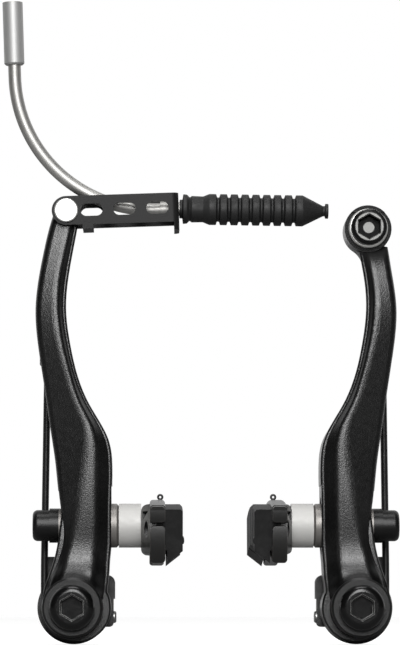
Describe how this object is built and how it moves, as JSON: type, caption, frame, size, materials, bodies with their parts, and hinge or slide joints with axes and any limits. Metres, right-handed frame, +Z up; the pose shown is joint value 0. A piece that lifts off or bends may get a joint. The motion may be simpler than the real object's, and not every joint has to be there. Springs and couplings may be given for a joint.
{
  "type": "v brake",
  "caption": "Linear-pull bicycle rim brake pair with sprung arms, cartridge shoes on ball washers, a hinged link, a bent cable guide with a rubber boot, and a cable clamp.",
  "frame": {"origin": "midway between the two frame bosses, on the plane that they stand on", "axes": "+X to the right seen from the front, +Y into the frame along the bosses, +Z up from the pivots to the cable"},
  "size_m": [0.1117, 0.0741, 0.1812],
  "materials": {
    "bushing_steel": "satin",
    "black_steel": "satin",
    "carrier_plastic": "matte",
    "bright_steel": "polished",
    "spring_wire": "satin",
    "grey_steel": "satin",
    "washer_aluminium": "matte",
    "holder_paint": "satin",
    "pad_rubber": "matte",
    "arm_paint": "satin speckled",
    "link_steel": "satin",
    "rivet_steel": "polished",
    "noodle_steel": "polished",
    "ferrule_aluminium": "polished",
    "liner_plastic": "matte",
    "boot_rubber": "matte"
  },
  "bodies": {
    "frame_side": {"left_pivot_bushing": "bushing_steel", "left_flange_washer": "black_steel", "left_mounting_bolt": "black_steel", "left_spring_carrier": "carrier_plastic", "left_stop_pin": "bright_steel", "left_return_spring": "spring_wire", "right_pivot_bushing": "bushing_steel", "right_flange_washer": "black_steel", "right_mounting_bolt": "black_steel", "right_spring_carrier": "carrier_plastic", "right_stop_pin": "bright_steel", "right_return_spring": "spring_wire"},
    "left_arm": {"left_arm": "arm_paint", "link_rivet": "rivet_steel"},
    "right_arm": {"right_arm": "arm_paint", "cable_clamp_bolt": "black_steel", "cable_clamp_washer": "bright_steel"},
    "link": {"link": "link_steel", "cable_boot": "boot_rubber"},
    "noodle_nose": {"noodle_nose": "ferrule_aluminium"},
    "noodle": {"noodle_tube": "noodle_steel", "noodle_ferrule": "ferrule_aluminium", "noodle_liner": "liner_plastic"},
    "left_shoe_seat": {"left_inner_convex_washer": "grey_steel", "left_outer_convex_washer": "bright_steel"},
    "left_shoe_bowls": {"left_inner_concave_washer": "washer_aluminium", "left_outer_concave_washer": "black_steel", "left_plain_washer": "black_steel"},
    "left_shoe": {"left_shoe_holder": "holder_paint", "left_shoe_stud": "bright_steel", "left_brake_pad": "pad_rubber", "left_pad_pin": "bright_steel", "left_shoe_nut": "black_steel"},
    "left_tension_screw": {"left_tension_screw": "bright_steel"},
    "right_shoe_seat": {"right_inner_convex_washer": "grey_steel", "right_outer_convex_washer": "bright_steel"},
    "right_shoe_bowls": {"right_inner_concave_washer": "washer_aluminium", "right_outer_concave_washer": "black_steel", "right_plain_washer": "black_steel"},
    "right_shoe": {"right_shoe_holder": "holder_paint", "right_shoe_stud": "bright_steel", "right_brake_pad": "pad_rubber", "right_pad_pin": "bright_steel", "right_shoe_nut": "black_steel"},
    "right_tension_screw": {"right_tension_screw": "bright_steel"}
  },
  "joints": [
    {"name": "left_arm_pivot", "type": "hinge", "parent": "frame_side", "child": "left_arm", "pos_m": [-0.04, 0, 0], "axis": [0, 1, 0], "range_deg": [-35, 0.5], "stiffness_Nm_per_rad": 2, "deforming": ["left_return_spring"]},
    {"name": "right_arm_pivot", "type": "hinge", "parent": "frame_side", "child": "right_arm", "pos_m": [0.04, 0, 0], "axis": [0, -1, 0], "range_deg": [-35, 0.5], "stiffness_Nm_per_rad": 2, "deforming": ["right_return_spring"]},
    {"name": "link_pivot", "type": "hinge", "parent": "left_arm", "child": "link", "pos_m": [-0.0421, -0.0145, 0.111], "axis": [0, -1, 0], "range_deg": [-10, 60]},
    {"name": "noodle_pull", "type": "slide", "parent": "link", "child": "noodle_nose", "axis": [-0.9994, 0, -0.0349], "range_m": [0, 0.0032]},
    {"name": "noodle_swivel", "type": "hinge", "parent": "noodle_nose", "child": "noodle", "pos_m": [-0.0421, -0.0145, 0.111], "axis": [0.9994, 0, 0.0349], "range_deg": [-20, 20]},
    {"name": "left_shoe_height", "type": "slide", "parent": "left_arm", "child": "left_shoe_seat", "axis": [0, 0, 1], "range_m": [-0.004, 0.004]},
    {"name": "left_shoe_toe", "type": "hinge", "parent": "left_shoe_seat", "child": "left_shoe_bowls", "pos_m": [-0.03385, -0.0145, 0.0229], "axis": [0, 0, 1], "range_deg": [-4, 4]},
    {"name": "left_shoe_turn", "type": "hinge", "parent": "left_shoe_bowls", "child": "left_shoe", "pos_m": [-0.03385, -0.0145, 0.0229], "axis": [1, 0, 0], "range_deg": [-10, 10]},
    {"name": "left_screw_turn", "type": "hinge", "parent": "frame_side", "child": "left_tension_screw", "pos_m": [-0.0293, -0.0038, -0.0026], "axis": [1, 0, 0], "continuous": true},
    {"name": "right_shoe_height", "type": "slide", "parent": "right_arm", "child": "right_shoe_seat", "axis": [0, 0, 1], "range_m": [-0.004, 0.004]},
    {"name": "right_shoe_toe", "type": "hinge", "parent": "right_shoe_seat", "child": "right_shoe_bowls", "pos_m": [0.03385, -0.0145, 0.0229], "axis": [0, 0, 1], "range_deg": [-4, 4]},
    {"name": "right_shoe_turn", "type": "hinge", "parent": "right_shoe_bowls", "child": "right_shoe", "pos_m": [0.03385, -0.0145, 0.0229], "axis": [1, 0, 0], "range_deg": [-10, 10]},
    {"name": "right_screw_turn", "type": "hinge", "parent": "frame_side", "child": "right_tension_screw", "pos_m": [0.0293, -0.0038, -0.0026], "axis": [-1, 0, 0], "continuous": true}
  ]
}
